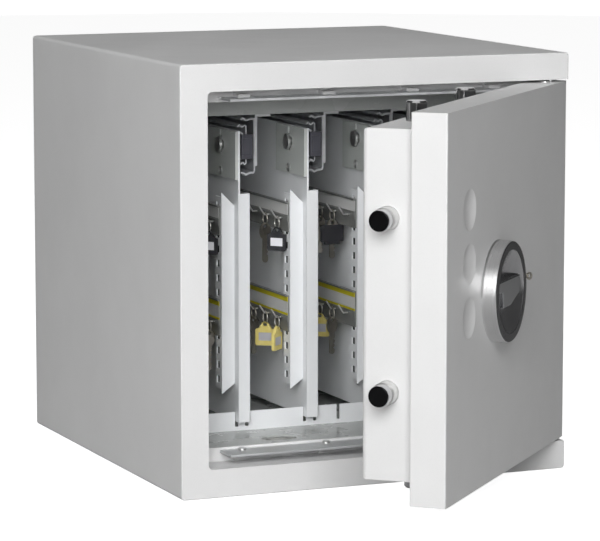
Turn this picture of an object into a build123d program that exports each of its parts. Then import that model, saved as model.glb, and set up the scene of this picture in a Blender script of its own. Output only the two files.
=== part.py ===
from build123d import *
import math
import os

os.makedirs("parts", exist_ok=True)

# Key cabinet, millimetres. X to the right, Y to the rear, Z up.
# The origin is the centre of the underside of the body.

# Body
WIDTH = 453.0
DEPTH = 477.0
HEIGHT = 460.0
SHEET = 3.0
FRONT = -DEPTH / 2
REAR = DEPTH / 2
SIDE = WIDTH / 2
CORNER_R = 4.0

# Door opening and the step the door closes against
OPEN_LEFT = -195.7
OPEN_BOTTOM = 30.8
OPEN_TOP = 430.8
OPEN_R = 5.0
STOP_Y = -197.0
CAVITY_LEFT = -186.5
CAVITY_RIGHT = 185.0
SILL_Z = 45.5
LINTEL_Z = 416.0
CAVITY_BACK = 198.5
LINER = 2.0
FILL_GAP = 0.3

# Labyrinth bars and their lugs
BAR_X = (-167.0, 170.0)
BAR_Y = (-230.0, -197.3)
BAR_T = 2.4
LOWER_BAR_Z = 40.6
UPPER_BAR_Z = 419.0
LUG_X = (-144.0, -46.0, 52.0, 150.0)
LUG_Y = -204.5
LUG_T = 3.2

# Door, given closed and then swung open about the hinge line
DOOR_OPEN = 46.2
PIVOT_X = SIDE - 15.0
PIVOT_Y = FRONT + 15.5
SLAB_RIGHT = SIDE
SLAB_LEFT = SIDE - 418.0
SLAB_BACK = FRONT + 38.0
SLAB_Z = (33.4, 428.0)
SLAB_FACE_T = 5.0
SLAB_WALL = 3.0
BOX_LEFT = SIDE - 403.0
BOX_RIGHT = SIDE - 46.0
BOX_BACK = FRONT + 94.3
BOX_Z = (55.0, 409.6)
BOX_WALL = 2.5
BOX_R = 6.0

# Boltwork
BOLT_R = 11.0
SLEEVE_R = 12.0
BOLT_Y = FRONT + 67.0
SIDE_BOLT_Z = (320.3, 144.7)
SIDE_TIP = SIDE - 430.0
LEVEL_BOLT_X = (SIDE - 315.0, SIDE - 155.0)
TOP_TIP = 430.3
BOTTOM_TIP = 31.3
RUN_GAP = 0.3

# Handle and lock
HANDLE_X = SIDE - 252.0
HANDLE_Z = 230.0
RING_R = 52.5
RING_BORE = 43.0
RING_T = 16.0
SPINDLE_R = 7.0
KEY_X = SIDE - 190.0
KEY_Z = 238.3
DIMPLE_X = SIDE - 345.5
DIMPLE_Z = (325.0, 270.0, 215.0)
DIMPLE_R = 21.0
DIMPLE_DEPTH = 3.6

# Hinge
PIN_R = 6.0
PIN_FIT = 0.05
BUSH_R = 9.0

# Key panels: the first one, and the pitch of the rest
PANELS = 4
PITCH = 81.1
PANEL_X = -114.8
PANEL_T = 2.0
PANEL_Y = (-123.0, 183.0)
PANEL_Z = (55.9, 376.6)
LIP_TOP = 308.0
LIP_W = 14.0
LIP_RETURN = 12.0
STRIP_Y = -114.5
STRIP_T = 1.5
STRIP_TOP = 66.5
SLIDE_Y = (-118.0, 175.0)
UPRIGHT_X = -14.9
UPRIGHT_T = 1.5
HOLE_PITCH = 16.0
HOLE = 8.0
RAIL_T = 1.5
RAIL_Y = (-108.0, 180.0)
UPPER_RAIL_Z = (261.5, 294.5)
LOWER_RAIL_Z = (150.5, 191.0)
HOOK_Z = (276.0, 165.5)
HOOK_R = 0.9
HOOK_Y = -95.0
HOOK_PITCH = 34.0
HOOKS = 8


def facing(y):
    """A sheet-metal working plane seen from the front: local x is X, local y is Z."""
    return Plane(origin=(0, y, 0), x_dir=(1, 0, 0), z_dir=(0, -1, 0))


def block(x, y, z, mode=Mode.ADD):
    """A plain plate or block between two limits on each axis."""
    with Locations(((x[0] + x[1]) / 2, (y[0] + y[1]) / 2, (z[0] + z[1]) / 2)):
        Box(x[1] - x[0], y[1] - y[0], z[1] - z[0], mode=mode)


def along_x(radius, x, y, z, mode=Mode.ADD):
    """A round bar or hole along X."""
    with Locations(Location(((x[0] + x[1]) / 2, y, z), (0, 90, 0))):
        Cylinder(radius, x[1] - x[0], mode=mode)


def along_y(radius, x, y, z, mode=Mode.ADD):
    """A round bar or hole along Y."""
    with Locations(Location((x, (y[0] + y[1]) / 2, z), (90, 0, 0))):
        Cylinder(radius, y[1] - y[0], mode=mode)


def along_z(radius, x, y, z, mode=Mode.ADD):
    """A round bar or hole along Z."""
    with Locations((x, y, (z[0] + z[1]) / 2)):
        Cylinder(radius, z[1] - z[0], mode=mode)


def bent_strip(points, thickness, y):
    """A bent strip with one cross-section along Y, given by its centre line."""
    with BuildSketch(facing(y[0])) as section:
        with BuildLine():
            Polyline(*points)
        trace(line_width=thickness)
    extrude(section.sketch, amount=-(y[1] - y[0]))


def save(part, name):
    part.label = name
    export_step(part, "parts/" + name + ".step")


def save_on_door(part, name):
    hinge_line = Axis((PIVOT_X, PIVOT_Y, 0), (0, 0, 1))
    save(part.rotate(hinge_line, DOOR_OPEN), name)


# ---------------------------------------------------------------- body wrap
with BuildPart() as body_wrap:
    with BuildSketch(facing(FRONT)):
        with Locations((0, HEIGHT / 2)):
            RectangleRounded(WIDTH, HEIGHT, CORNER_R)
            Rectangle(WIDTH - 2 * SHEET, HEIGHT - 2 * SHEET, mode=Mode.SUBTRACT)
    extrude(amount=-DEPTH)
    front_edges = body_wrap.edges().group_by(Axis.Y)[0]
    outer_edges = front_edges.filter_by(
        lambda e: abs(e.center().X) > SIDE - 1.5
        or e.center().Z < 1.5
        or e.center().Z > HEIGHT - 1.5
    )
    fillet(outer_edges, 1.4)
    block((SIDE - 10, SIDE + 1), (FRONT - 1, STOP_Y), (OPEN_BOTTOM, OPEN_TOP), Mode.SUBTRACT)
save(body_wrap.part, "body_wrap")

# ---------------------------------------------------------------- rear panel
with BuildPart() as rear_panel:
    block((-SIDE + SHEET, SIDE - SHEET), (REAR - SHEET, REAR), (SHEET, HEIGHT - SHEET))
save(rear_panel.part, "rear_panel")

# ---------------------------------------------------------------- front frame
with BuildPart() as front_frame:
    frame_right = SIDE - SHEET
    with BuildSketch(facing(FRONT)):
        with Locations((0, HEIGHT / 2)):
            Rectangle(2 * frame_right, HEIGHT - 2 * SHEET)
        with Locations(((OPEN_LEFT + 300) / 2, (OPEN_BOTTOM + OPEN_TOP) / 2)):
            RectangleRounded(300 - OPEN_LEFT, OPEN_TOP - OPEN_BOTTOM, OPEN_R, mode=Mode.SUBTRACT)
    extrude(amount=-SHEET)
    # walls of the opening
    with BuildSketch(facing(FRONT + SHEET)):
        with Locations(((OPEN_LEFT + 300) / 2, (OPEN_BOTTOM + OPEN_TOP) / 2)):
            RectangleRounded(
                300 - OPEN_LEFT + 2 * SHEET,
                OPEN_TOP - OPEN_BOTTOM + 2 * SHEET,
                OPEN_R + SHEET,
            )
            RectangleRounded(300 - OPEN_LEFT, OPEN_TOP - OPEN_BOTTOM, OPEN_R, mode=Mode.SUBTRACT)
        with Locations((frame_right + 150, HEIGHT / 2)):
            Rectangle(300, HEIGHT + 100, mode=Mode.SUBTRACT)
    extrude(amount=-(STOP_Y - FRONT - SHEET))
    # stop face all round
    with BuildSketch(facing(STOP_Y)):
        with Locations(((OPEN_LEFT - SHEET + frame_right) / 2, (OPEN_BOTTOM + OPEN_TOP) / 2)):
            Rectangle(frame_right - OPEN_LEFT + SHEET, OPEN_TOP - OPEN_BOTTOM + 2 * SHEET)
        with Locations(((CAVITY_LEFT + CAVITY_RIGHT) / 2, (SILL_Z + LINTEL_Z) / 2)):
            Rectangle(CAVITY_RIGHT - CAVITY_LEFT, LINTEL_Z - SILL_Z, mode=Mode.SUBTRACT)
    extrude(amount=-SHEET)
    # welded lugs for the labyrinth bars
    for lug_x in LUG_X:
        lug_w = (lug_x - 7, lug_x + 7)
        block(lug_w, (LUG_Y - 7, STOP_Y), (LOWER_BAR_Z - LUG_T, LOWER_BAR_Z))
        block(lug_w, (STOP_Y - LUG_T, STOP_Y), (OPEN_BOTTOM, LOWER_BAR_Z))
        block(lug_w, (LUG_Y - 7, STOP_Y), (UPPER_BAR_Z + BAR_T, UPPER_BAR_Z + BAR_T + LUG_T))
        block(lug_w, (STOP_Y - LUG_T, STOP_Y), (UPPER_BAR_Z + BAR_T, OPEN_TOP))
        along_z(2.6, lug_x, LUG_Y, (LOWER_BAR_Z - 7.5, LOWER_BAR_Z), Mode.SUBTRACT)
        along_z(2.6, lug_x, LUG_Y, (UPPER_BAR_Z + BAR_T, UPPER_BAR_Z + BAR_T + 7.5), Mode.SUBTRACT)
    # seats of the hinge bushes
    along_z(BUSH_R, PIVOT_X, PIVOT_Y, (OPEN_BOTTOM - 4, OPEN_BOTTOM + 1), Mode.SUBTRACT)
    along_z(BUSH_R, PIVOT_X, PIVOT_Y, (OPEN_TOP - 1, OPEN_TOP + 4), Mode.SUBTRACT)
save(front_frame.part, "front_frame")

# ---------------------------------------------------------------- cavity liner
with BuildPart() as cavity_liner:
    liner_y = (STOP_Y + SHEET, CAVITY_BACK)
    block(
        (CAVITY_LEFT - LINER, CAVITY_RIGHT + LINER),
        (liner_y[0], liner_y[1] + LINER),
        (SILL_Z - LINER, LINTEL_Z + LINER),
    )
    block(
        (CAVITY_LEFT, CAVITY_RIGHT),
        (liner_y[0] - 1, liner_y[1]),
        (SILL_Z, LINTEL_Z),
        Mode.SUBTRACT,
    )
    for bolt_z in SIDE_BOLT_Z:
        along_x(SLEEVE_R + 1.5, (CAVITY_LEFT - 5, CAVITY_LEFT + 2), BOLT_Y, bolt_z, Mode.SUBTRACT)
    for bolt_x in LEVEL_BOLT_X:
        along_z(BOLT_R + 2, bolt_x, BOLT_Y, (LINTEL_Z - 2, LINTEL_Z + 5), Mode.SUBTRACT)
        with BuildSketch(Plane.XY.offset(SILL_Z + 1)):
            with Locations((bolt_x + 1.5, BOLT_Y + 1.5)):
                SlotOverall(40, 28)
        extrude(amount=-5, mode=Mode.SUBTRACT)
save(cavity_liner.part, "cavity_liner")

# ---------------------------------------------------------------- ceiling pan
PAN_Z = 393.7
PAN_T = 1.5
PAN_Y = -120.7
with BuildPart() as ceiling_pan:
    block((CAVITY_LEFT + 0.3, CAVITY_RIGHT - 0.3), (PAN_Y, CAVITY_BACK - 0.3), (PAN_Z, PAN_Z + PAN_T))
    block((CAVITY_LEFT + 0.3, CAVITY_RIGHT - 0.3), (PAN_Y, PAN_Y + PAN_T), (PAN_Z, LINTEL_Z))
    block(
        (CAVITY_LEFT + 0.3, CAVITY_RIGHT - 0.3),
        (CAVITY_BACK - 0.3 - PAN_T, CAVITY_BACK - 0.3),
        (PAN_Z, LINTEL_Z),
    )
save(ceiling_pan.part, "ceiling_pan")

# ---------------------------------------------------------------- wall fill
with BuildPart() as wall_fill:
    fill_out = SHEET + FILL_GAP
    fill_in = LINER + FILL_GAP
    block(
        (-SIDE + fill_out, SIDE - fill_out),
        (STOP_Y + SHEET + FILL_GAP, REAR - fill_out),
        (fill_out, HEIGHT - fill_out),
    )
    block(
        (CAVITY_LEFT - fill_in, CAVITY_RIGHT + fill_in),
        (STOP_Y, CAVITY_BACK + fill_in),
        (SILL_Z - fill_in, LINTEL_Z + fill_in),
        Mode.SUBTRACT,
    )
    for bolt_z in SIDE_BOLT_Z:
        along_x(SLEEVE_R + 1.5, (SIDE_TIP - 6, CAVITY_LEFT), BOLT_Y, bolt_z, Mode.SUBTRACT)
    for bolt_x in LEVEL_BOLT_X:
        along_z(BOLT_R + 2, bolt_x, BOLT_Y, (LINTEL_Z, TOP_TIP + 5), Mode.SUBTRACT)
        along_z(BOLT_R + 2, bolt_x, BOLT_Y, (BOTTOM_TIP - 5, SILL_Z), Mode.SUBTRACT)
save(wall_fill.part, "wall_fill")

# ---------------------------------------------------------------- threshold strip
with BuildPart() as threshold_strip:
    block((CAVITY_LEFT + 0.3, CAVITY_RIGHT - 0.3), (STRIP_Y, STRIP_Y + STRIP_T), (SILL_Z, STRIP_TOP))
    block((CAVITY_LEFT + 0.3, CAVITY_RIGHT - 0.3), (STRIP_Y, STRIP_Y + 12), (SILL_Z, SILL_Z + STRIP_T))
    for i in range(PANELS):
        sheet_x = PANEL_X + PITCH * i
        leg_x = sheet_x + LIP_W
        block((sheet_x - 1, sheet_x + 3), (STRIP_Y - 1, STRIP_Y + 2), (50, STRIP_TOP + 1), Mode.SUBTRACT)
        block((leg_x - 3, leg_x + 1), (STRIP_Y - 1, STRIP_Y + 2), (50, STRIP_TOP + 1), Mode.SUBTRACT)
    spare_x = PANEL_X + 1.5 * PITCH
    block((spare_x - 1, spare_x + 3), (STRIP_Y - 1, STRIP_Y + 2), (50, STRIP_TOP + 1), Mode.SUBTRACT)
save(threshold_strip.part, "threshold_strip")

# ---------------------------------------------------------------- labyrinth bars
for name, bar_z in (("lower_labyrinth_bar", LOWER_BAR_Z), ("upper_labyrinth_bar", UPPER_BAR_Z)):
    with BuildPart() as labyrinth_bar:
        block(BAR_X, BAR_Y, (bar_z, bar_z + BAR_T))
        for lug_x in LUG_X:
            along_z(2.7, lug_x, LUG_Y, (bar_z - 1, bar_z + BAR_T + 1), Mode.SUBTRACT)
    save(labyrinth_bar.part, name)

with BuildPart() as labyrinth_screws:
    for lug_x in LUG_X:
        along_z(4.4, lug_x, LUG_Y, (LOWER_BAR_Z + BAR_T, LOWER_BAR_Z + BAR_T + 1.8))
        along_z(2.5, lug_x, LUG_Y, (LOWER_BAR_Z - LUG_T, LOWER_BAR_Z + BAR_T))
        along_z(4.4, lug_x, LUG_Y, (UPPER_BAR_Z - 1.8, UPPER_BAR_Z))
        along_z(2.5, lug_x, LUG_Y, (UPPER_BAR_Z, UPPER_BAR_Z + BAR_T + LUG_T))
save(labyrinth_screws.part, "labyrinth_screws")

# ---------------------------------------------------------------- hinge bushes
with BuildPart() as hinge_bushes:
    for inner, outer, washer in (
        (OPEN_BOTTOM, OPEN_BOTTOM - 14, OPEN_BOTTOM + 1.6),
        (OPEN_TOP, OPEN_TOP + 14, OPEN_TOP - 1.6),
    ):
        along_z(BUSH_R, PIVOT_X, PIVOT_Y, (min(inner, outer), max(inner, outer)))
        along_z(BUSH_R - 1.5, PIVOT_X, PIVOT_Y, (min(inner, washer), max(inner, washer)))
        bore = (inner - 11.5, washer + 1) if outer < inner else (washer - 1, inner + 11.5)
        along_z(PIN_R + PIN_FIT, PIVOT_X, PIVOT_Y, bore, Mode.SUBTRACT)
save(hinge_bushes.part, "hinge_bushes")

# ---------------------------------------------------------------- slide brackets and fixed rails
with BuildPart() as slide_brackets:
    for i in range(PANELS):
        base = PANEL_X + PITCH * i
        block((base + 21.8, base + 24.3), SLIDE_Y, (337.3, PAN_Z))
        block((base + 24.3, base + 39.8), SLIDE_Y, (PAN_Z - 2.5, PAN_Z))
save(slide_brackets.part, "slide_brackets")

with BuildPart() as outer_rails:
    for i in range(PANELS):
        base = PANEL_X + PITCH * i
        bent_strip(
            (
                (base + 4.9, 388.2),
                (base + 7.4, 390.0),
                (base + 11.5, 387.4),
                (base + 15.5, 388.6),
                (base + 20.9, 388.6),
                (base + 20.9, 332.0),
                (base + 19.6, 330.0),
                (base + 15.0, 330.0),
                (base + 11.0, 328.2),
                (base + 7.0, 330.6),
                (base + 4.9, 330.0),
            ),
            1.8,
            SLIDE_Y,
        )
save(outer_rails.part, "outer_rails")

# ---------------------------------------------------------------- sliding key panels
for i in range(PANELS):
    base = PANEL_X + PITCH * i
    number = str(i + 1)

    with BuildPart() as middle_rail:
        bent_strip(
            (
                (base + 0.9, 380.6),
                (base + 3.4, 382.6),
                (base + 6.6, 380.4),
                (base + 9.6, 382.2),
                (base + 11.2, 380.8),
                (base + 11.2, 341.2),
                (base + 9.6, 339.6),
                (base + 7.0, 341.8),
                (base + 4.6, 339.4),
            ),
            1.5,
            SLIDE_Y,
        )
    save(middle_rail.part, "middle_rail_" + number)

    with BuildPart() as inner_rail:
        bent_strip(
            (
                (base + 7.6, 372.6),
                (base + 5.4, 374.2),
                (base + 2.8, 374.2),
                (base + 2.8, 345.8),
                (base + 5.4, 345.8),
                (base + 7.6, 347.4),
            ),
            1.6,
            SLIDE_Y,
        )
    save(inner_rail.part, "inner_rail_" + number)

    with BuildPart() as panel_sheet:
        block((base, base + PANEL_T), PANEL_Y, PANEL_Z)
        lip_y = PANEL_Y[0]
        block((base, base + LIP_W), (lip_y, lip_y + PANEL_T), (PANEL_Z[0], LIP_TOP))
        leg = base + LIP_W
        block((leg - PANEL_T, leg), (lip_y, lip_y + LIP_RETURN), (PANEL_Z[0], LIP_TOP))
        lip_edges = panel_sheet.edges().filter_by(Axis.Z).group_by(Axis.Y)[0]
        fillet(lip_edges.group_by(Axis.X)[-1], 1.6)
    save(panel_sheet.part, "panel_sheet_" + number)

    with BuildPart() as mount_plate:
        plate_y = (-123.0, -43.0)
        block((base - 3.4, base), plate_y, (323.5, 375.8))
        along_x(9.6, (base - 5, base + 1), -80.0, 358.5, Mode.SUBTRACT)
        block((base - 5, base + 1), (-82.3, -77.7), (360, 375.0), Mode.SUBTRACT)
    save(mount_plate.part, "mount_plate_" + number)

    with BuildPart() as upright:
        leg_x = (base + UPRIGHT_X, base + UPRIGHT_X + UPRIGHT_T)
        for flange_y, leg_y in (((-111.0, -109.5), (-111.0, -93.0)), ((173.5, 175.0), (157.0, 175.0))):
            with BuildSketch(facing(flange_y[0])):
                with BuildLine():
                    Polyline(
                        (leg_x[0], 87.0),
                        (base, 97.5),
                        (base, 294.0),
                        (leg_x[0], 309.0),
                        (leg_x[0], 87.0),
                    )
                make_face()
            extrude(amount=-UPRIGHT_T)
            block(leg_x, leg_y, (92.0, 304.0))
            far_y = (leg_y[1] - UPRIGHT_T, leg_y[1]) if flange_y[0] < 0 else (leg_y[0], leg_y[0] + UPRIGHT_T)
            block((leg_x[0], base), far_y, (97.5, 294.0))
            for k in range(13):
                hole_z = 102.0 + HOLE_PITCH * k
                hole_y = sum(leg_y) / 2 + (2.0 if flange_y[0] < 0 else -2.0)
                block(
                    (leg_x[0] - 1, leg_x[1] + 1),
                    (hole_y - HOLE / 2, hole_y + HOLE / 2),
                    (hole_z - HOLE / 2, hole_z + HOLE / 2),
                    Mode.SUBTRACT,
                )
    save(upright.part, "upright_" + number)

    with BuildPart() as hook_rails:
        rail_x = (base + UPRIGHT_X - RAIL_T, base + UPRIGHT_X)
        for rail_z, hook_z in zip((UPPER_RAIL_Z, LOWER_RAIL_Z), HOOK_Z):
            block(rail_x, RAIL_Y, rail_z)
            block((rail_x[0] - 2.5, rail_x[0]), RAIL_Y, (rail_z[1] - RAIL_T, rail_z[1]))
            block((rail_x[0] - 1.2, rail_x[0]), RAIL_Y, (hook_z - 3.5, hook_z + 3.0))
            for k in range(HOOKS):
                hook_y = HOOK_Y + HOOK_PITCH * k
                root = rail_x[0] - 1.2 - 0.02
                with BuildLine() as hook_line:
                    Polyline(
                        (root, hook_y, hook_z),
                        (rail_x[0] - 8.6, hook_y, hook_z),
                        (rail_x[0] - 14.6, hook_y, hook_z + 9.0),
                    )
                with BuildSketch(Plane(origin=(root, hook_y, hook_z), z_dir=(-1, 0, 0))):
                    Circle(HOOK_R)
                sweep(path=hook_line.line, transition=Transition.ROUND)
    save(hook_rails.part, "hook_rails_" + number)

# ---------------------------------------------------------------- keys and tags
RING_MAJOR = 6.5
RING_WIRE = 0.7


def hang_point(panel, row, hook):
    """Lowest point inside the wire of one hook."""
    x = PANEL_X + PITCH * (panel - 1) + UPRIGHT_X - RAIL_T - 7.6
    return x, HOOK_Y + HOOK_PITCH * hook, HOOK_Z[row]


def hang_ring(x, y, z):
    """A split ring resting on the hook, in the plane across it."""
    ring_z = z + HOOK_R - (RING_MAJOR - RING_WIRE) + 0.05
    with Locations(Location((x, y, ring_z), (0, 90, 0))):
        Torus(RING_MAJOR, RING_WIRE)
    return ring_z


def hanging_plane(x, y, z, turn):
    """An upright plane through a key's or tag's eye, turned about the vertical."""
    across = (math.cos(turn), math.sin(turn), 0)
    forward = (-math.sin(turn), math.cos(turn), 0)
    return Plane(origin=(x, y, z), x_dir=across, z_dir=forward)


def hang_key(x, y, ring_z, turn, blade):
    """An oval-bowed key, its eye around the low side of the ring."""
    eye_z = ring_z - RING_MAJOR - 1.3
    place = hanging_plane(x, y, eye_z, turn)
    with BuildSketch(place.offset(-1.0)) as outline:
        flip = 1 if place.y_dir.Z > 0 else -1
        with Locations((0, -6.0 * flip)):
            Ellipse(7.0, 9.5)
        with Locations((0, -(14.0 + blade / 2) * flip)):
            Rectangle(6.2, blade)
        with Locations((0, -(14.0 + blade) * flip)):
            Circle(3.1)
        Circle(2.4, mode=Mode.SUBTRACT)
        for notch in range(3):
            with Locations((3.1, -(22.0 + 5.0 * notch) * flip)):
                Rectangle(2.6, 2.2, rotation=45, mode=Mode.SUBTRACT)
    extrude(outline.sketch, amount=2.0)


def hang_tag(x, y, ring_z, turn):
    """A moulded label tag with a domed eye."""
    eye_z = ring_z - RING_MAJOR - 1.3
    place = hanging_plane(x, y, eye_z, turn)
    flip = 1 if place.y_dir.Z > 0 else -1
    with BuildSketch(place.offset(-1.6)) as outline:
        with Locations((0, -14.5 * flip)):
            RectangleRounded(22.0, 19.0, 2.0)
        with Locations((0, -2.5 * flip)):
            Circle(5.0)
        with Locations((0, -4.5 * flip)):
            Trapezoid(18.0, 7.0, 60, 60, rotation=0 if flip > 0 else 180)
        Circle(2.4, mode=Mode.SUBTRACT)
    extrude(outline.sketch, amount=3.2)
    with BuildSketch(place.offset(-2.2)) as window:
        with Locations((0, -14.0 * flip)):
            Rectangle(15.0, 9.5)
    extrude(window.sketch, amount=1.0, mode=Mode.SUBTRACT)


# row 0 is the upper rail, row 1 the lower; hook 0 is the front one
KEYS = {
    1: ((1, 0, 0.10, 24.0), (1, 2, -0.10, 22.0)),
    2: ((0, 1, 0.15, 24.0), (0, 3, -0.30, 22.0), (1, 2, 0.40, 22.0), (1, 3, -0.20, 24.0)),
    3: ((0, 1, 0.05, 24.0), (0, 2, 0.30, 22.0), (1, 1, 0.20, 22.0), (1, 3, -0.20, 22.0)),
}
TAGS = {
    1: ((0, 0, -0.82), (1, 1, -0.60)),
    2: ((0, 0, -0.82), (1, 0, 0.75), (1, 1, -0.60)),
    3: ((0, 3, -0.70), (1, 2, -0.60)),
}
for panel in (1, 2, 3):
    with BuildPart() as keys:
        for row, hook, turn, blade in KEYS[panel]:
            x, y, z = hang_point(panel, row, hook)
            ring_z = hang_ring(x, y, z)
            hang_key(x, y, ring_z, turn, blade)
    save(keys.part, "keys_" + str(panel))
    with BuildPart() as tags:
        for row, hook, turn in TAGS[panel]:
            x, y, z = hang_point(panel, row, hook)
            ring_z = hang_ring(x, y, z)
            hang_tag(x, y, ring_z, turn)
    save(tags.part, "key_tags_" + str(panel))

# ---------------------------------------------------------------- door slab
with BuildPart() as door_slab:
    with BuildSketch(Plane.XY.offset(SLAB_Z[0])):
        with BuildLine():
            Polyline(
                (SLAB_LEFT, FRONT),
                (SLAB_RIGHT, FRONT),
                (SLAB_RIGHT, SLAB_BACK - 8),
                (SLAB_RIGHT - 8, SLAB_BACK),
                (SLAB_LEFT, SLAB_BACK),
                (SLAB_LEFT, FRONT),
            )
        make_face()
    extrude(amount=SLAB_Z[1] - SLAB_Z[0])
    uprights = door_slab.edges().filter_by(Axis.Z)
    hinge_front = uprights.group_by(Axis.X)[-1].group_by(Axis.Y)[0]
    fillet(hinge_front, 5.0)
    lock_corners = door_slab.edges().filter_by(Axis.Z).group_by(Axis.X)[0]
    fillet(lock_corners, 1.5)
    inner_z = (SLAB_Z[0] + SLAB_WALL, SLAB_Z[1] - SLAB_WALL)
    inner_y = (FRONT + SLAB_FACE_T, SLAB_BACK - SLAB_WALL)
    with BuildSketch(Plane.XY.offset(inner_z[0])):
        with BuildLine():
            Polyline(
                (SLAB_LEFT + SLAB_WALL, inner_y[0]),
                (SLAB_RIGHT - SLAB_WALL, inner_y[0]),
                (SLAB_RIGHT - SLAB_WALL, inner_y[1] - 6),
                (SLAB_RIGHT - SLAB_WALL - 6, inner_y[1]),
                (SLAB_LEFT + SLAB_WALL, inner_y[1]),
                (SLAB_LEFT + SLAB_WALL, inner_y[0]),
            )
        make_face()
    extrude(amount=inner_z[1] - inner_z[0], mode=Mode.SUBTRACT)
    # grooves for the labyrinth bars, and the opening behind the bolt box
    groove_x = (SLAB_LEFT + SLAB_WALL, BOX_RIGHT)
    back_cut = (SLAB_BACK - SLAB_WALL - 1, SLAB_BACK + 1)
    block(groove_x, back_cut, (inner_z[0], BOX_Z[0]), Mode.SUBTRACT)
    block(groove_x, back_cut, (BOX_Z[1], inner_z[1]), Mode.SUBTRACT)
    block((BOX_LEFT + 2, BOX_RIGHT - 2), back_cut, (BOX_Z[0] + 2, BOX_Z[1] - 2), Mode.SUBTRACT)
    core_y = (FRONT + SLAB_FACE_T, SLAB_BACK)
    block((BOX_LEFT, BOX_RIGHT), core_y, (BOX_Z[0], BOX_Z[0] + 2))
    block((BOX_LEFT, BOX_RIGHT), core_y, (BOX_Z[1] - 2, BOX_Z[1]))
    block((BOX_LEFT, BOX_LEFT + 2), core_y, BOX_Z)
    block((BOX_RIGHT - 2, BOX_RIGHT), core_y, BOX_Z)
    # spindle, key and hinge pin holes, pressed dimples
    along_y(SPINDLE_R + RUN_GAP, HANDLE_X, (FRONT - 1, FRONT + SLAB_FACE_T + 1), HANDLE_Z, Mode.SUBTRACT)
    along_y(4.5, KEY_X, (FRONT - 1, FRONT + SLAB_FACE_T + 1), KEY_Z, Mode.SUBTRACT)
    along_z(PIN_R, PIVOT_X, PIVOT_Y, (SLAB_Z[0] - 1, SLAB_Z[0] + SLAB_WALL + 1), Mode.SUBTRACT)
    along_z(PIN_R, PIVOT_X, PIVOT_Y, (SLAB_Z[1] - SLAB_WALL - 1, SLAB_Z[1] + 1), Mode.SUBTRACT)
    dimple_sphere = (DIMPLE_R**2 + DIMPLE_DEPTH**2) / (2 * DIMPLE_DEPTH)
    for dimple_z in DIMPLE_Z:
        with Locations((DIMPLE_X, FRONT + DIMPLE_DEPTH - dimple_sphere, dimple_z)):
            Sphere(dimple_sphere, mode=Mode.SUBTRACT)
save_on_door(door_slab.part, "door_slab")

# ---------------------------------------------------------------- door fill
with BuildPart() as door_fill:
    block(
        (BOX_LEFT + 2.3, BOX_RIGHT - 2.3),
        (FRONT + SLAB_FACE_T + 0.3, SLAB_BACK),
        (BOX_Z[0] + 2.3, BOX_Z[1] - 2.3),
    )
    along_y(SPINDLE_R + 1, HANDLE_X, (FRONT, SLAB_BACK + 1), HANDLE_Z, Mode.SUBTRACT)
    along_y(6.0, KEY_X, (FRONT, SLAB_BACK + 1), KEY_Z, Mode.SUBTRACT)
save_on_door(door_fill.part, "door_fill")

# ---------------------------------------------------------------- bolt box
with BuildPart() as bolt_box:
    with BuildSketch(facing(SLAB_BACK)):
        with Locations(((BOX_LEFT + BOX_RIGHT) / 2, (BOX_Z[0] + BOX_Z[1]) / 2)):
            Rectangle(BOX_RIGHT - BOX_LEFT, BOX_Z[1] - BOX_Z[0])
    extrude(amount=-(BOX_BACK - SLAB_BACK))
    rim = bolt_box.edges().group_by(Axis.Y)[-1]
    fillet(rim, BOX_R)
    block(
        (BOX_LEFT + BOX_WALL, BOX_RIGHT - BOX_WALL),
        (SLAB_BACK - 1, BOX_BACK - BOX_WALL),
        (BOX_Z[0] + BOX_WALL, BOX_Z[1] - BOX_WALL),
        Mode.SUBTRACT,
    )
    for bolt_z in SIDE_BOLT_Z:
        along_x(SLEEVE_R + RUN_GAP, (BOX_LEFT - 1, BOX_LEFT + 4), BOLT_Y, bolt_z, Mode.SUBTRACT)
    for bolt_x in LEVEL_BOLT_X:
        along_z(BOLT_R + RUN_GAP, bolt_x, BOLT_Y, (BOX_Z[0] - 1, BOX_Z[0] + 4), Mode.SUBTRACT)
        along_z(BOLT_R + RUN_GAP, bolt_x, BOLT_Y, (BOX_Z[1] - 4, BOX_Z[1] + 1), Mode.SUBTRACT)
save_on_door(bolt_box.part, "bolt_box")

# ---------------------------------------------------------------- hinge pins
with BuildPart() as hinge_pins:
    along_z(PIN_R, PIVOT_X, PIVOT_Y, (OPEN_BOTTOM - 10, SLAB_Z[0] + 12))
    along_z(PIN_R, PIVOT_X, PIVOT_Y, (SLAB_Z[1] - 12, OPEN_TOP + 10))
save_on_door(hinge_pins.part, "hinge_pins")

# ---------------------------------------------------------------- boltwork
SLEEVE_TIP = SIDE_TIP + 13.0
with BuildPart() as side_bolts:
    for bolt_z in SIDE_BOLT_Z:
        along_x(BOLT_R, (SIDE_TIP, SLEEVE_TIP), BOLT_Y, bolt_z)
    tip_edges = side_bolts.edges().group_by(Axis.X)[0]
    fillet(tip_edges, 1.6)
save_on_door(side_bolts.part, "side_bolts")

with BuildPart() as side_bolt_sleeves:
    for bolt_z in SIDE_BOLT_Z:
        along_x(SLEEVE_R, (SLEEVE_TIP, -116.0), BOLT_Y, bolt_z)
    sleeve_edges = side_bolt_sleeves.edges().group_by(Axis.X)[0]
    chamfer(sleeve_edges, 0.9)
save_on_door(side_bolt_sleeves.part, "side_bolt_sleeves")

with BuildPart() as side_tie_bar:
    block((-116.0, -110.0), (BOLT_Y - 10, BOLT_Y + 10), (134.0, 331.0))
    block((-110.0, -74.0), (BOLT_Y - 15.5, BOLT_Y - 10.5), (220.0, 240.0))
    block((-116.0, -110.0), (BOLT_Y - 15.5, BOLT_Y - 10), (220.0, 240.0))
save_on_door(side_tie_bar.part, "side_tie_bar")

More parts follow.
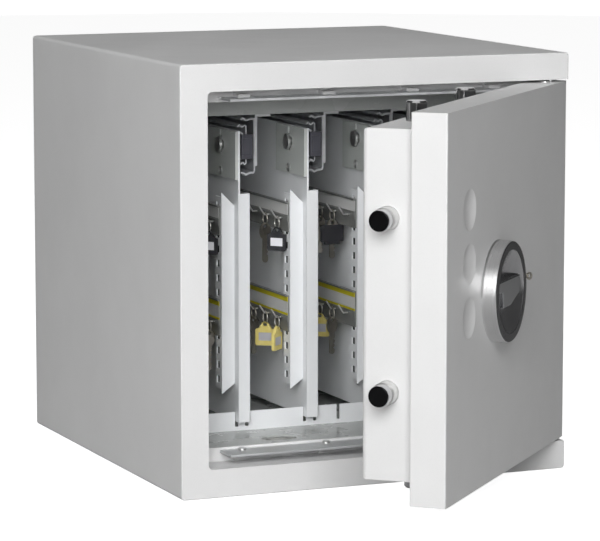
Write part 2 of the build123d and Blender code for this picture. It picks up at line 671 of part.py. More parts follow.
with BuildPart() as top_bolts:
    for bolt_x in LEVEL_BOLT_X:
        along_z(BOLT_R, bolt_x, BOLT_Y, (362.0, TOP_TIP))
    chamfer(top_bolts.edges().group_by(Axis.Z)[-1], 1.8)
save_on_door(top_bolts.part, "top_bolts")

with BuildPart() as bottom_bolts:
    for bolt_x in LEVEL_BOLT_X:
        along_z(BOLT_R, bolt_x, BOLT_Y, (BOTTOM_TIP, 98.0))
    chamfer(bottom_bolts.edges().group_by(Axis.Z)[0], 1.8)
save_on_door(bottom_bolts.part, "bottom_bolts")

with BuildPart() as top_tie_bar:
    block((-100.0, 83.0), (BOLT_Y - 10, BOLT_Y + 10), (356.0, 362.0))
    block((-35.5, -15.5), (BOLT_Y - 15.5, BOLT_Y - 10), (278.0, 362.0))
save_on_door(top_tie_bar.part, "top_tie_bar")

with BuildPart() as bottom_tie_bar:
    block((-100.0, 83.0), (BOLT_Y - 10, BOLT_Y + 10), (98.0, 104.0))
    block((-35.5, -15.5), (BOLT_Y - 15.5, BOLT_Y - 10), (98.0, 182.0))
save_on_door(bottom_tie_bar.part, "bottom_tie_bar")

# ---------------------------------------------------------------- handle
BOWL_FLOOR = FRONT - 4.0
BOWL_FLAT_R = 14.0
with BuildPart() as handle_ring:
    with BuildSketch(Plane.XY):
        with BuildLine():
            Polyline(
                (SPINDLE_R + RUN_GAP, FRONT),
                (RING_R + 1.0, FRONT),
                (RING_R, FRONT - 1.5),
                (RING_R, FRONT - RING_T + 1.2),
                (RING_R - 1.2, FRONT - RING_T),
                (RING_BORE + 1.0, FRONT - RING_T),
                (RING_BORE, FRONT - RING_T + 1.5),
            )
            ThreePointArc(
                (RING_BORE, FRONT - RING_T + 1.5),
                (31.0, FRONT - 7.6),
                (BOWL_FLAT_R, BOWL_FLOOR),
            )
            Polyline(
                (BOWL_FLAT_R, BOWL_FLOOR),
                (SPINDLE_R + RUN_GAP, BOWL_FLOOR),
                (SPINDLE_R + RUN_GAP, FRONT),
            )
        make_face()
    revolve(axis=Axis((0, 0, 0), (0, 1, 0)))
handle_ring_placed = handle_ring.part.moved(Location((HANDLE_X, 0, HANDLE_Z)))
save_on_door(handle_ring_placed, "handle_ring")

GRIP_BACK = BOWL_FLOOR - 0.4
GRIP_FRONT = FRONT - 13.7
GRIP_GAP = 0.45
with BuildPart() as handle_grip:
    outline = (
        (-46.0, 13.3),
        (46.0, 13.3),
        (46.0, -2.5),
        (30.0, -6.5),
        (5.0, -15.0),
        (-20.0, -15.0),
        (-21.5, 2.0),
        (-46.0, 2.0),
        (-46.0, 13.3),
    )
    with BuildSketch(facing(GRIP_BACK)):
        with BuildLine():
            Polyline([(HANDLE_X + across, HANDLE_Z + up) for across, up in outline])
        make_face()
    extrude(amount=GRIP_BACK - GRIP_FRONT)
    fillet(handle_grip.edges().filter_by(Axis.Y), 1.5)
    # the ends and the back follow the bowl
    with BuildSketch(Plane.XY):
        with BuildLine():
            Polyline(
                (BOWL_FLAT_R, BOWL_FLOOR - GRIP_GAP + 0.05),
                (BOWL_FLAT_R, FRONT + 2),
                (70.0, FRONT + 2),
                (70.0, FRONT - 20),
                (RING_BORE - 1.0, FRONT - 20),
                (RING_BORE - 1.0, FRONT - RING_T + 1.5),
            )
            ThreePointArc(
                (RING_BORE - 1.0, FRONT - RING_T + 1.5),
                (31.0, FRONT - 7.6 - GRIP_GAP),
                (BOWL_FLAT_R, BOWL_FLOOR - GRIP_GAP + 0.05),
            )
        bowl_side = make_face()
    bowl_cut = revolve(axis=Axis((0, 0, 0), (0, 1, 0)), mode=Mode.PRIVATE)
    add(bowl_cut.moved(Location((HANDLE_X, 0, HANDLE_Z))), mode=Mode.SUBTRACT)
    fillet(handle_grip.faces().sort_by(Axis.Y)[0].edges(), 1.1)
save_on_door(handle_grip.part, "handle_grip")

with BuildPart() as handle_cam:
    along_y(SPINDLE_R, HANDLE_X, (FRONT - 4.4, -187.6), HANDLE_Z)
    along_y(42.0, HANDLE_X, (-193.0, -187.6), HANDLE_Z)
save_on_door(handle_cam.part, "handle_cam")

# ---------------------------------------------------------------- lock case and key
with BuildPart() as lock_case:
    block((20.5, 61.0), (-199.5, -160.0), (190.0, 275.0))
    block((22.5, 59.0), (-197.5, -162.0), (192.0, 273.0), Mode.SUBTRACT)
    along_y(4.5, KEY_X, (-201, -196), KEY_Z, Mode.SUBTRACT)
save_on_door(lock_case.part, "lock_case")

with BuildPart() as lock_key:
    along_y(2.6, KEY_X, (FRONT - 14.0, -165.0), KEY_Z)
    block((KEY_X + 1.5, KEY_X + 9.0), (-184.0, -170.0), (KEY_Z - 1.0, KEY_Z + 1.0))
    with BuildSketch(Plane(origin=(KEY_X, 0, KEY_Z), x_dir=(0, 1, 0), z_dir=(1, 0, 0)).offset(-1.2)):
        with Locations((FRONT - 16.0, 0)):
            Ellipse(3.0, 4.0)
            Ellipse(1.1, 1.7, mode=Mode.SUBTRACT)
    extrude(amount=2.4)
save_on_door(lock_key.part, "lock_key")
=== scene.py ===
import bpy
import bmesh
import math
from mathutils import Matrix, Vector


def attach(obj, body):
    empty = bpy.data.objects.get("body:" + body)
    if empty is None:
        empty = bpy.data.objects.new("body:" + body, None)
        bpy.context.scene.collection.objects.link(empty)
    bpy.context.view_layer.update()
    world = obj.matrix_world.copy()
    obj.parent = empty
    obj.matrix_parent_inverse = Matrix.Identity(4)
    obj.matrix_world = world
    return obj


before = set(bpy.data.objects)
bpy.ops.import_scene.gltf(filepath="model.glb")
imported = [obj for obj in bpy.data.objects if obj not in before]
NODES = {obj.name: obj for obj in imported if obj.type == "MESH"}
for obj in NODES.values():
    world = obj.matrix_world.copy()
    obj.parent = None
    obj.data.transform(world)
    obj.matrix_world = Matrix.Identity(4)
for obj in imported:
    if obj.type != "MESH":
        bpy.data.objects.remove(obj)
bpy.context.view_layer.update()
MM = 0.001

# The door's hinge line and its directions at rest:
# ALONG runs from the hinge to the lock edge, INWARD from the door's front to its inside.
PIVOT = Vector((211.5, -223.0, 0.0)) * MM
OPEN = math.radians(46.2)
ALONG = Vector((-math.cos(OPEN), -math.sin(OPEN), 0.0))
INWARD = Vector((-math.sin(OPEN), math.cos(OPEN), 0.0))
DOOR = Matrix.Translation(PIVOT) @ Matrix.Rotation(OPEN, 4, "Z") @ Matrix.Translation(-PIVOT)

# The sliding panels, in millimetres: how many, how far apart, where the first one stands.
PANELS = 4
PITCH = 81.1
PANEL_X = -114.8
RAIL_FACE = -16.4  # the hook rails' face, from the panel's own X

# Handle and bolts, in metres along the door's own directions.
BLACK_FACE_DEPTH = -0.0308
BOWL_RADIUS = 0.0436
BOLT_END_REACH = 0.4146

# Heights that split the tags into tags and rings, in metres.
UPPER_RAIL_FROM = 0.200
UPPER_RING_FROM = 0.2660
LOWER_RING_FROM = 0.1556


# ------------------------------------------------------------------ node helpers
def new_material(name):
    mat = bpy.data.materials.new(name)
    mat.use_nodes = True
    tree = mat.node_tree
    shader = tree.nodes["Principled BSDF"]
    place = tree.nodes.new("ShaderNodeTexCoord")
    return mat, tree, shader, place.outputs["Object"]


def noise(tree, place, scale, detail=4.0, rough=0.5, stretch=None):
    if stretch is not None:
        mapping = tree.nodes.new("ShaderNodeMapping")
        mapping.inputs["Scale"].default_value = stretch
        tree.links.new(place, mapping.inputs["Vector"])
        place = mapping.outputs["Vector"]
    tex = tree.nodes.new("ShaderNodeTexNoise")
    tex.inputs["Scale"].default_value = scale
    tex.inputs["Detail"].default_value = detail
    tex.inputs["Roughness"].default_value = rough
    tree.links.new(place, tex.inputs["Vector"])
    return tex.outputs["Fac"]


def spread(tree, value, low, high, start=0.3, end=0.7):
    node = tree.nodes.new("ShaderNodeMapRange")
    node.inputs["From Min"].default_value = start
    node.inputs["From Max"].default_value = end
    node.inputs["To Min"].default_value = low
    node.inputs["To Max"].default_value = high
    tree.links.new(value, node.inputs["Value"])
    return node.outputs["Result"]


def mix(tree, factor, one, two, blend="MIX"):
    node = tree.nodes.new("ShaderNodeMix")
    node.data_type = "RGBA"
    node.blend_type = blend
    for socket, value in ((node.inputs[0], factor), (node.inputs[6], one), (node.inputs[7], two)):
        if hasattr(value, "is_linked"):
            tree.links.new(value, socket)
        elif isinstance(value, (int, float)):
            socket.default_value = value
        else:
            socket.default_value = (*value, 1.0)
    return node.outputs[2]


def math_node(tree, operation, one, two=None):
    node = tree.nodes.new("ShaderNodeMath")
    node.operation = operation
    for socket, value in zip(node.inputs, (one, two)):
        if value is None:
            continue
        if hasattr(value, "is_linked"):
            tree.links.new(value, socket)
        else:
            socket.default_value = value
    return node.outputs[0]


def bump(tree, shader, height, strength, distance):
    node = tree.nodes.new("ShaderNodeBump")
    node.inputs["Strength"].default_value = strength
    node.inputs["Distance"].default_value = distance
    tree.links.new(height, node.inputs["Height"])
    tree.links.new(node.outputs["Normal"], shader.inputs["Normal"])


def axis_value(tree, place, direction, origin=(0.0, 0.0, 0.0)):
    """Distance of a point along a direction, in metres."""
    move = tree.nodes.new("ShaderNodeVectorMath")
    move.operation = "SUBTRACT"
    move.inputs[1].default_value = origin
    tree.links.new(place, move.inputs[0])
    dot = tree.nodes.new("ShaderNodeVectorMath")
    dot.operation = "DOT_PRODUCT"
    dot.inputs[1].default_value = direction
    tree.links.new(move.outputs[0], dot.inputs[0])
    return dot.outputs["Value"]


def between(tree, value, low, high):
    above = math_node(tree, "GREATER_THAN", value, low)
    below = math_node(tree, "LESS_THAN", value, high)
    return math_node(tree, "MULTIPLY", above, below)


# ------------------------------------------------------------------ materials
def scaled(colour, share):
    return tuple(min(1.0, c * share) for c in colour)


def powder_coat(name, base, rough=0.42, grain=900.0, grain_height=0.00006, mottle=0.03, specular=0.4):
    """Sprayed paint: fine orange peel, faint cloudiness, a few duller rubbed patches."""
    mat, tree, shader, place = new_material(name)
    clouds = noise(tree, place, 7.0, 5.0, 0.55)
    colour = mix(tree, spread(tree, clouds, 0.0, 1.0), scaled(base, 1.0 - mottle), scaled(base, 1.0 + mottle))
    specks = noise(tree, place, grain * 0.8, 2.0, 0.6)
    colour = mix(tree, spread(tree, specks, 0.0, 0.16, 0.55, 0.75), colour, scaled(base, 0.8))
    tree.links.new(colour, shader.inputs["Base Color"])
    patches = noise(tree, place, 18.0, 6.0, 0.6)
    tree.links.new(spread(tree, patches, rough - 0.06, rough + 0.08), shader.inputs["Roughness"])
    shader.inputs["Specular IOR Level"].default_value = specular
    bump(tree, shader, noise(tree, place, grain, 3.0, 0.5), 0.35, grain_height)
    return mat


def metal(name, base, rough, grain=(1.0, 1.0, 1.0), scale=400.0, depth=0.00002, wear=0.08, dull=0.15):
    """Bare metal: grain along one way, cloudy roughness, slightly darker handled areas."""
    mat, tree, shader, place = new_material(name)
    lines = noise(tree, place, scale, 5.0, 0.6, grain)
    clouds = noise(tree, place, 35.0, 5.0, 0.6)
    colour = mix(tree, spread(tree, clouds, 0.0, 1.0), scaled(base, 1.0 - wear), base)
    colour = mix(tree, spread(tree, lines, 0.0, dull), colour, scaled(base, 0.6))
    tree.links.new(colour, shader.inputs["Base Color"])
    shader.inputs["Metallic"].default_value = 1.0
    from_lines = spread(tree, lines, 0.0, rough * 0.5)
    from_clouds = spread(tree, clouds, rough * 0.7, rough * 1.1)
    tree.links.new(math_node(tree, "ADD", from_lines, from_clouds), shader.inputs["Roughness"])
    bump(tree, shader, lines, 0.3, depth)
    return mat


def plastic(name, base, rough=0.38):
    """Moulded plastic: faint clouds and pale scuffs."""
    mat, tree, shader, place = new_material(name)
    clouds = noise(tree, place, 90.0, 5.0, 0.6)
    scuffs = noise(tree, place, 500.0, 4.0, 0.7, (1.0, 1.0, 0.15))
    colour = mix(tree, spread(tree, clouds, 0.0, 1.0), scaled(base, 0.92), base)
    pale = tuple(min(1.0, c * 1.25 + 0.03) for c in base)
    colour = mix(tree, spread(tree, scuffs, 0.0, 0.1, 0.55, 0.75), colour, pale)
    tree.links.new(colour, shader.inputs["Base Color"])
    tree.links.new(spread(tree, clouds, rough - 0.05, rough + 0.1), shader.inputs["Roughness"])
    bump(tree, shader, scuffs, 0.2, 0.00004)
    return mat


def paper(name, base):
    """Matt fibrous paper or board."""
    mat, tree, shader, place = new_material(name)
    fibres = noise(tree, place, 1500.0, 6.0, 0.7)
    colour = mix(tree, spread(tree, fibres, 0.0, 1.0), scaled(base, 0.94), base)
    tree.links.new(colour, shader.inputs["Base Color"])
    tree.links.new(spread(tree, fibres, 0.5, 0.7), shader.inputs["Roughness"])
    bump(tree, shader, fibres, 0.15, 0.00003)
    return mat


BODY = powder_coat("body_grey", (0.72, 0.72, 0.72))
DOOR_PAINT = powder_coat("door_grey", (0.69, 0.69, 0.69), rough=0.38)
CAVITY = powder_coat("cavity_grey", (0.47, 0.485, 0.475), rough=0.26, grain=700.0, specular=0.6)
PANEL = powder_coat("panel_white", (0.83, 0.845, 0.86), rough=0.36, grain=1200.0)
PANEL_GREY = powder_coat("panel_grey", (0.58, 0.605, 0.585), rough=0.35, grain=1200.0)
ZINC = metal("zinc_sheet", (0.82, 0.83, 0.84), 0.46, (0.3, 1.0, 1.0))
RAIL_STEEL = metal("rail_steel", (0.80, 0.81, 0.83), 0.42, (1.0, 0.05, 1.0))
CHROME = metal("black_chrome", (0.42, 0.42, 0.425), 0.06, scale=900.0, depth=0.000004, dull=0.05)
GRIP_CHROME = metal("grip_chrome", (0.44, 0.445, 0.455), 0.16, scale=700.0, depth=0.000008, dull=0.06)
SLEEVE = metal("sleeve_steel", (0.78, 0.78, 0.77), 0.34, (0.3, 1.0, 1.0))
KEY_METAL = metal("key_nickel", (0.55, 0.52, 0.46), 0.30, (1.0, 1.0, 0.1), 600.0)
PALE_LABEL = paper("pale_label", (0.62, 0.62, 0.61))
WHITE_PAPER = paper("white_paper", (0.86, 0.86, 0.90))
GREY_PAPER = paper("grey_paper", (0.48, 0.48, 0.52))
YELLOW = plastic("yellow_band", (0.62, 0.55, 0.02), 0.42)
BLACK_PLASTIC = plastic("dark_plastic", (0.035, 0.035, 0.04), 0.36)
BLOCK_PLASTIC = plastic("grey_plastic", (0.07, 0.07, 0.085), 0.42)
FILL = paper("mineral_fill", (0.36, 0.36, 0.35))


POLISHED = ((0.46, 0.46, 0.47), (0.54, 0.54, 0.55))


def panel_repeat(tree, place, start):
    """Distance in X from a line that comes back at every panel, start millimetres to the left of it."""
    across = axis_value(tree, place, (1.0, 0.0, 0.0), (PANEL_X * MM, 0.0, 0.0))
    return math_node(tree, "FLOORED_MODULO", math_node(tree, "ADD", across, start * MM), PITCH * MM)


def ring_material():
    """Turned satin side, near-black front face, brighter polished bowl."""
    mat, tree, shader, place = new_material("handle_ring_metal")
    depth = axis_value(tree, place, INWARD, PIVOT)
    centre = DOOR @ (Vector((-25.5, -238.5, 230.0)) * MM)
    along = axis_value(tree, place, ALONG, centre)
    up = axis_value(tree, place, (0.0, 0.0, 1.0), centre)
    along_squared = math_node(tree, "MULTIPLY", along, along)
    up_squared = math_node(tree, "MULTIPLY", up, up)
    radius = math_node(tree, "SQRT", math_node(tree, "ADD", along_squared, up_squared))
    front = math_node(tree, "LESS_THAN", depth, BLACK_FACE_DEPTH)
    bowl = math_node(tree, "LESS_THAN", radius, BOWL_RADIUS)
    # turning marks: noise that only changes with radius and depth
    lines = tree.nodes.new("ShaderNodeTexNoise")
    lines.noise_dimensions = "1D"
    lines.inputs["Scale"].default_value = 4000.0
    tree.links.new(math_node(tree, "ADD", radius, math_node(tree, "MULTIPLY", depth, 1.7)), lines.inputs["W"])
    clouds = noise(tree, place, 60.0, 4.0, 0.6)
    silver = mix(tree, spread(tree, lines.outputs["Fac"], 0.0, 0.4), (0.74, 0.74, 0.74), (0.56, 0.56, 0.57))
    polished = mix(tree, spread(tree, clouds, 0.0, 1.0), *POLISHED)
    colour = mix(tree, bowl, silver, polished)
    black = math_node(tree, "SUBTRACT", front, math_node(tree, "MULTIPLY", front, bowl))
    colour = mix(tree, black, colour, (0.032, 0.032, 0.034))
    tree.links.new(colour, shader.inputs["Base Color"])
    tree.links.new(math_node(tree, "SUBTRACT", 1.0, black), shader.inputs["Metallic"])
    satin = spread(tree, lines.outputs["Fac"], 0.26, 0.40)
    rough = math_node(tree, "SUBTRACT", satin, math_node(tree, "MULTIPLY", bowl, 0.14))
    tree.links.new(rough, shader.inputs["Roughness"])
    bump(tree, shader, lines.outputs["Fac"], 0.25, 0.00001)
    return mat


def hook_rail_material():
    """Dark painted rail with bare bright hooks."""
    mat, tree, shader, place = new_material("hook_rail_paint")
    clouds = noise(tree, place, 40.0, 5.0, 0.6)
    grain = noise(tree, place, 900.0, 3.0, 0.5)
    colour = mix(tree, spread(tree, clouds, 0.0, 1.0), (0.15, 0.155, 0.15), (0.21, 0.215, 0.205))
    # the hooks stand out to the left of their rail
    wire = math_node(tree, "LESS_THAN", panel_repeat(tree, place, 40.0), 0.0205)
    colour = mix(tree, wire, colour, (0.74, 0.74, 0.74))
    tree.links.new(colour, shader.inputs["Base Color"])
    tree.links.new(wire, shader.inputs["Metallic"])
    tree.links.new(spread(tree, clouds, 0.28, 0.42), shader.inputs["Roughness"])
    bump(tree, shader, grain, 0.2, 0.00003)
    return mat


def tag_material():
    """Moulded tags: black on the upper rail, yellow on the lower one."""
    mat, tree, shader, place = new_material("tag_plastic")
    height = axis_value(tree, place, (0.0, 0.0, 1.0))
    upper = math_node(tree, "GREATER_THAN", height, UPPER_RAIL_FROM)
    clouds = noise(tree, place, 120.0, 5.0, 0.6)
    yellow = mix(tree, spread(tree, clouds, 0.0, 1.0), (0.70, 0.58, 0.16), (0.80, 0.69, 0.25))
    black = mix(tree, spread(tree, clouds, 0.0, 1.0), (0.022, 0.022, 0.026), (0.045, 0.045, 0.05))
    # the split rings above the moulded eyes are bare steel
    ring_high = math_node(tree, "GREATER_THAN", height, UPPER_RING_FROM)
    ring_low = between(tree, height, LOWER_RING_FROM, UPPER_RAIL_FROM)
    ring = math_node(tree, "ADD", ring_high, ring_low)
    colour = mix(tree, ring, mix(tree, upper, yellow, black), (0.66, 0.65, 0.62))
    tree.links.new(colour, shader.inputs["Base Color"])
    tree.links.new(ring, shader.inputs["Metallic"])
    tree.links.new(spread(tree, clouds, 0.30, 0.45), shader.inputs["Roughness"])
    bump(tree, shader, noise(tree, place, 700.0, 3.0, 0.5), 0.2, 0.00003)
    return mat


def bolt_material():
    """Polished bolts: bright round sides, end faces painted near-black as a painted dark reflection."""
    mat, tree, shader, place = new_material("bolt_tip_chrome")
    clouds = noise(tree, place, 60.0, 5.0, 0.6)
    scratches = noise(tree, place, 900.0, 4.0, 0.6, (1.0, 1.0, 0.2))
    reach = axis_value(tree, place, ALONG, PIVOT)
    end = math_node(tree, "GREATER_THAN", reach, BOLT_END_REACH)
    bright = mix(tree, spread(tree, clouds, 0.0, 1.0), *POLISHED)
    # painted reflection: the mirror-polished end faces are coloured near-black to stand for the dark they
    # reflect
    colour = mix(tree, end, bright, (0.014, 0.014, 0.015))
    tree.links.new(colour, shader.inputs["Base Color"])
    shader.inputs["Metallic"].default_value = 1.0
    tree.links.new(spread(tree, scratches, 0.05, 0.12), shader.inputs["Roughness"])
    bump(tree, shader, scratches, 0.2, 0.000004)
    return mat


def upright_material():
    """White channel whose hidden inside is painted near-black as shade, so its holes read dark."""
    mat, tree, shader, place = new_material("upright_paint")
    clouds = noise(tree, place, 12.0, 5.0, 0.55)
    colour = mix(tree, spread(tree, clouds, 0.0, 1.0), (0.81, 0.825, 0.84), (0.84, 0.855, 0.87))
    depth = axis_value(tree, place, (0.0, 1.0, 0.0))
    inside = between(tree, panel_repeat(tree, place, 20.0), 0.00655, 0.0202)
    painted_shade_in_channel = math_node(tree, "MULTIPLY", inside, between(tree, depth, -0.10945, -0.09405))
    # painted shade: the inside of the channel behind the holes is coloured near-black because it lies in shadow
    colour = mix(tree, painted_shade_in_channel, colour, (0.02, 0.02, 0.02))
    tree.links.new(colour, shader.inputs["Base Color"])
    tree.links.new(spread(tree, clouds, 0.32, 0.44), shader.inputs["Roughness"])
    bump(tree, shader, noise(tree, place, 1200.0, 3.0, 0.5), 0.35, 0.00006)
    return mat


RING = ring_material()
UPRIGHT = upright_material()
BOLT = bolt_material()
HOOK_RAIL = hook_rail_material()
TAG = tag_material()

LOOKS = {
    "body_wrap": BODY, "rear_panel": BODY, "front_frame": BODY, "cavity_liner": CAVITY,
    "ceiling_pan": CAVITY, "wall_fill": FILL, "threshold_strip": PANEL,
    "lower_labyrinth_bar": ZINC, "upper_labyrinth_bar": ZINC, "labyrinth_screws": SLEEVE,
    "hinge_bushes": SLEEVE, "slide_brackets": ZINC, "outer_rails": RAIL_STEEL,
    "door_slab": DOOR_PAINT, "bolt_box": DOOR_PAINT, "door_fill": FILL, "hinge_pins": CHROME,
    "handle_ring": RING, "handle_grip": GRIP_CHROME, "handle_cam": ZINC, "lock_case": ZINC,
    "lock_key": KEY_METAL, "side_bolts": BOLT, "side_bolt_sleeves": SLEEVE,
    "side_tie_bar": ZINC, "top_bolts": CHROME, "top_tie_bar": ZINC, "bottom_bolts": CHROME,
    "bottom_tie_bar": ZINC,
}
for n in range(1, PANELS + 1):
    LOOKS[f"middle_rail_{n}"] = RAIL_STEEL
    LOOKS[f"inner_rail_{n}"] = RAIL_STEEL
    LOOKS[f"panel_sheet_{n}"] = PANEL
    LOOKS[f"mount_plate_{n}"] = PANEL_GREY
    LOOKS[f"upright_{n}"] = UPRIGHT
    LOOKS[f"hook_rails_{n}"] = HOOK_RAIL
    if n < PANELS:
        LOOKS[f"keys_{n}"] = KEY_METAL
        LOOKS[f"key_tags_{n}"] = TAG
for node, mat in LOOKS.items():
    NODES[node].data.materials.clear()
    NODES[node].data.materials.append(mat)


# ------------------------------------------------------------------ detail pieces
def finish_piece(name, bm, mat, body, bevel=0.0, on_door=False):
    """Turn a bmesh into a named piece that rides a body; on_door swings it from shut to its rest place."""
    mesh = bpy.data.meshes.new(name)
    if on_door:
        bm.transform(DOOR)
    bm.to_mesh(mesh)
    bm.free()
    obj = bpy.data.objects.new(name, mesh)
    bpy.context.scene.collection.objects.link(obj)
    mesh.materials.append(mat)
    if bevel:
        mod = obj.modifiers.new("edge", "BEVEL")
        mod.width = bevel * MM
        mod.segments = 3
        mod.limit_method = "ANGLE"
    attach(obj, body)
    return obj


def box_into(bm, low, high):
    for v in bmesh.ops.create_cube(bm, size=1.0)["verts"]:
        v.co = Vector([(low[i] + (v.co[i] + 0.5) * (high[i] - low[i])) * MM for i in range(3)])


def disc_into(bm, centre, radius, thick, axis):
    """A short cylinder whose mid-point is at centre."""
    turn = {"X": Matrix.Rotation(math.pi / 2, 4, "Y"), "Z": Matrix.Identity(4)}[axis]
    place = Matrix.Translation(Vector(centre) * MM) @ turn
    bmesh.ops.create_cone(
        bm, cap_ends=True, segments=40, radius1=radius * MM, radius2=radius * MM, depth=thick * MM, matrix=place
    )


HEAD_SIDES = 32
HEAD_PROFILE = ((1.0, 0.15), (1.0, 0.7), (0.86, 1.35), (0.55, 1.75))  # share of the radius, height
RECESS_TOP = (0.44, 0.18, 1.85)  # share of the radius in the cross's arms, between them, height
RECESS_FLOOR = (0.34, 0.12, 0.9)


def pan_head(name, centre, radius, axis, body):
    """Screw head: a dome with a cross recess, standing out from centre against the axis."""
    step = {"X": Vector((-1, 0, 0)), "Z": Vector((0, 0, -1))}[axis]
    ref = Vector((0, 1, 0))
    other = step.cross(ref)
    bm = bmesh.new()

    def loop(shares, height):
        points = []
        for k in range(HEAD_SIDES):
            a = 2 * math.pi * k / HEAD_SIDES
            out = (ref * math.cos(a) + other * math.sin(a)) * radius * shares[k]
            points.append(bm.verts.new((Vector(centre) + step * height + out) * MM))
        return points

    def cross(arm, gap):
        return [arm if k % 8 in (0, 1, 7) else gap for k in range(HEAD_SIDES)]

    loops = [loop([share] * HEAD_SIDES, height) for share, height in HEAD_PROFILE]
    for arm, gap, height in (RECESS_TOP, RECESS_FLOOR):
        loops.append(loop(cross(arm, gap), height))
    for one, two in zip(loops, loops[1:]):
        for k in range(HEAD_SIDES):
            after = (k + 1) % HEAD_SIDES
            bm.faces.new((one[k], one[after], two[after], two[k]))
    bm.faces.new(loops[-1])
    bm.faces.new(list(reversed(loops[0])))
    bmesh.ops.recalc_face_normals(bm, faces=bm.faces)
    return finish_piece(name, bm, SLEEVE, body)


for n in range(1, PANELS + 1):
    base = PANEL_X + PITCH * (n - 1)
    body = f"panel_{n}"
    front = base + RAIL_FACE
    for label, bottom, top in (("upper", 280.0, 292.0), ("lower", 171.2, 183.8)):
        bm = bmesh.new()
        box_into(bm, (front - 0.5, -107.5, bottom), (front - 0.02, 179.0, top))
        finish_piece(f"{label}_label_{n}", bm, PALE_LABEL, body, 0.15)
    bm = bmesh.new()
    box_into(bm, (front - 0.7, -107.8, 184.0), (front - 0.02, 179.3, 189.2))
    box_into(bm, (front - 0.7, -107.8, 168.7), (front - 0.02, 179.3, 171.0))
    finish_piece(f"yellow_border_{n}", bm, YELLOW, body, 0.15)
    bm = bmesh.new()
    box_into(bm, (base + 4.6, -122.0, 345.5), (base + 17.9, -118.3, 372.4))
    box_into(bm, (base + 6.2, -123.0, 350.0), (base + 16.0, -121.5, 368.5))
    finish_piece(f"slide_block_{n}", bm, BLOCK_PLASTIC, body, 0.7)
    pan_head(f"plate_screw_{n}", (base - 3.5, -80.0, 330.0), 4.8, "X", body)
    bm = bmesh.new()
    disc_into(bm, (base - 2.6, -80.0, 358.5), 4.6, 4.6, "X")
    disc_into(bm, (base - 6.0, -80.0, 358.5), 8.4, 3.0, "X")
    finish_piece(f"keyhole_stud_{n}", bm, SLEEVE, body, 0.3)
    for end, along in (("front", -104.0), ("rear", 150.0)):
        pan_head(f"bracket_screw_{end}_{n}", (base + 32.0, along, 391.1), 3.8, "Z", "cabinet")

# Paper slips in the windows of the tags, and the moulded head of one key.
# Millimetres: how far a piece hangs out from its rail, the hooks' heights and places, the drop to its eye.
HANG = -7.6
HOOK_ROWS = (276.0, 165.5)
HOOK_FIRST = -95.0
HOOK_STEP = 34.0
EYE_DROP = 12.65
# For each panel: rail (0 upper, 1 lower), hook, and the turn of the tag in radians.
TAGS = {
    1: ((0, 0, -0.82), (1, 1, -0.60)),
    2: ((0, 0, -0.82), (1, 0, 0.75), (1, 1, -0.60)),
    3: ((0, 3, -0.70), (1, 2, -0.60)),
}


def hanging(panel, row, hook, turn):
    """Frame of a hung piece: X across it, Y toward its back, Z up, origin in its eye."""
    x = PANEL_X + PITCH * (panel - 1) + RAIL_FACE + HANG
    origin = Vector((x, HOOK_FIRST + HOOK_STEP * hook, HOOK_ROWS[row] - EYE_DROP)) * MM
    return Matrix.Translation(origin) @ Matrix.Rotation(turn, 4, "Z")


for panel, hung in TAGS.items():
    for count, (row, hook, turn) in enumerate(hung):
        bm = bmesh.new()
        box_into(bm, (-7.2, -1.45, -18.5), (7.2, -1.1, -9.5))
        bm.transform(hanging(panel, row, hook, turn))
        slip_paper = (WHITE_PAPER, GREY_PAPER)[row]
        finish_piece(f"tag_slip_{panel}_{count}", bm, slip_paper, f"panel_{panel}", 0.1)
bm = bmesh.new()
box_into(bm, (-14.0, -2.6, -22.0), (14.0, 2.6, -3.0))
box_into(bm, (-9.5, -2.4, -25.0), (9.5, 2.4, -20.5))
bm.transform(hanging(3, 0, 1, 0.05))
finish_piece("key_head_3", bm, BLACK_PLASTIC, "panel_3", 1.4)

# Round plug in the top of the slab, beside the hinge, placed with the door shut.
bm = bmesh.new()
disc_into(bm, (192.5, -223.4, 428.5), 5.2, 1.0, "Z")
disc_into(bm, (192.5, -223.4, 429.2), 4.2, 0.6, "Z")
finish_piece("slab_plug", bm, SLEEVE, "door", 0.2, on_door=True)


# ------------------------------------------------------------------ stage
def stage_material(name, colour, glow):
    mat, tree, shader, place = new_material(name)
    clouds = noise(tree, place, 0.8, 2.0, 0.4)
    tint = mix(tree, spread(tree, clouds, 0.0, 1.0), scaled(colour, 0.985), colour)
    tree.links.new(tint, shader.inputs["Base Color"])
    shader.inputs["Roughness"].default_value = 0.9
    shader.inputs["Specular IOR Level"].default_value = 0.1
    shader.inputs["Emission Color"].default_value = (1.0, 1.0, 1.0, 1.0)
    shader.inputs["Emission Strength"].default_value = glow
    return mat


def plane(name, points, mat):
    mesh = bpy.data.meshes.new(name)
    mesh.from_pydata([tuple(p) for p in points], [], [tuple(range(len(points)))])
    mesh.materials.append(mat)
    obj = bpy.data.objects.new(name, mesh)
    bpy.context.scene.collection.objects.link(obj)
    return obj


def camera_only(obj):
    """A white surround that the lens sees and that neither lights nor shades the object."""
    obj.visible_diffuse = False
    obj.visible_glossy = False
    obj.visible_transmission = False
    obj.visible_shadow = False


FLOOR = stage_material("floor", (0.50, 0.50, 0.50), 0.04)
PAPER = stage_material("floor_paper", (0.86, 0.86, 0.86), 0.88)
CARD = stage_material("surround", (0.90, 0.90, 0.90), 1.0)
FLOOR_HALF = 9
FLOOR_Z = -0.0008
PAPER_Z = -0.0004
SURROUND_R = 8.0
SURROUND_H = 7.0
SURROUND_SIDES = 16


def level_square(z):
    return [(x * FLOOR_HALF, y * FLOOR_HALF, z) for x, y in ((-1, -1), (1, -1), (1, 1), (-1, 1))]


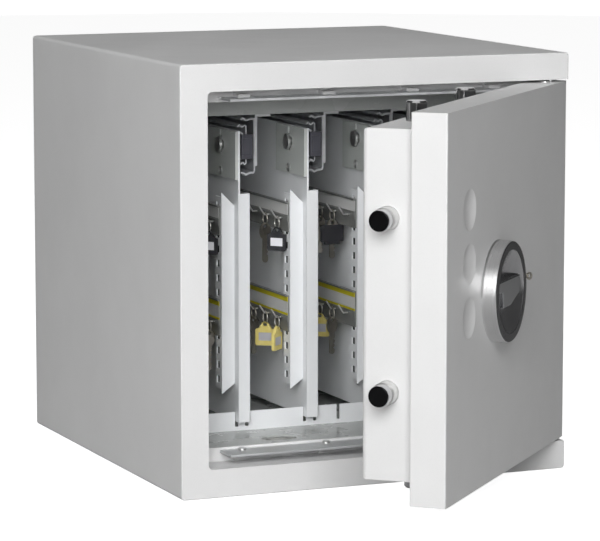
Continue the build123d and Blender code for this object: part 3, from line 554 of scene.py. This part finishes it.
plane("floor", level_square(FLOOR_Z), FLOOR)
camera_only(plane("floor_paper", level_square(PAPER_Z), PAPER))
for k in range(SURROUND_SIDES):
    a, b = (2 * math.pi * step / SURROUND_SIDES for step in (k, k + 1))
    corners = [(SURROUND_R * math.cos(t), SURROUND_R * math.sin(t)) for t in (a, b)]
    low = [(x, y, PAPER_Z) for x, y in corners]
    high = [(x, y, SURROUND_H) for x, y in reversed(corners)]
    camera_only(plane(f"surround_{k}", low + high, CARD))


def area(name, place, target, width, height, power):
    light = bpy.data.lights.new(name, "AREA")
    light.shape = "RECTANGLE"
    light.size = width
    light.size_y = height
    light.energy = power
    obj = bpy.data.objects.new(name, light)
    obj.location = place
    obj.rotation_euler = (Vector(target) - Vector(place)).to_track_quat("-Z", "Y").to_euler()
    bpy.context.scene.collection.objects.link(obj)


KEY_DIRECTION = Vector((-0.40, -0.84, 0.40)).normalized()
area("key", KEY_DIRECTION * 3.2 + Vector((0, 0, 0.2)), (0.0, 0.0, 0.22), 2.0, 1.8, 92.0)
area("inside", (-1.1, -2.6, 0.42), (0.0, 0.0, 0.26), 0.5, 0.4, 2.2)
area("top", (0.1, 0.2, 2.6), (0.0, 0.0, 0.3), 1.8, 1.8, 10.5)
area("left", (-2.6, 0.6, 0.9), (0.0, 0.0, 0.25), 1.0, 1.6, 2.5)

world = bpy.data.worlds.new("studio")
world.use_nodes = True
world.node_tree.nodes["Background"].inputs["Color"].default_value = (1.0, 1.0, 1.0, 1.0)
world.node_tree.nodes["Background"].inputs["Strength"].default_value = 0.08
bpy.context.scene.world = world
bpy.context.scene.view_settings.view_transform = "Standard"

# ------------------------------------------------------------------ camera
camera_data = bpy.data.cameras.new("camera")
camera_data.sensor_width = 36.0
camera_data.lens = 198.57
camera_data.shift_x = 0.00833
camera_data.shift_y = -0.01117
camera_data.clip_end = 60.0
camera = bpy.data.objects.new("camera", camera_data)
camera.location = (-1.4525, -3.4308, 0.7272)
camera.rotation_euler = (math.radians(90.0 - 7.908), 0.0, math.radians(-23.007))
bpy.context.scene.collection.objects.link(camera)
bpy.context.scene.camera = camera
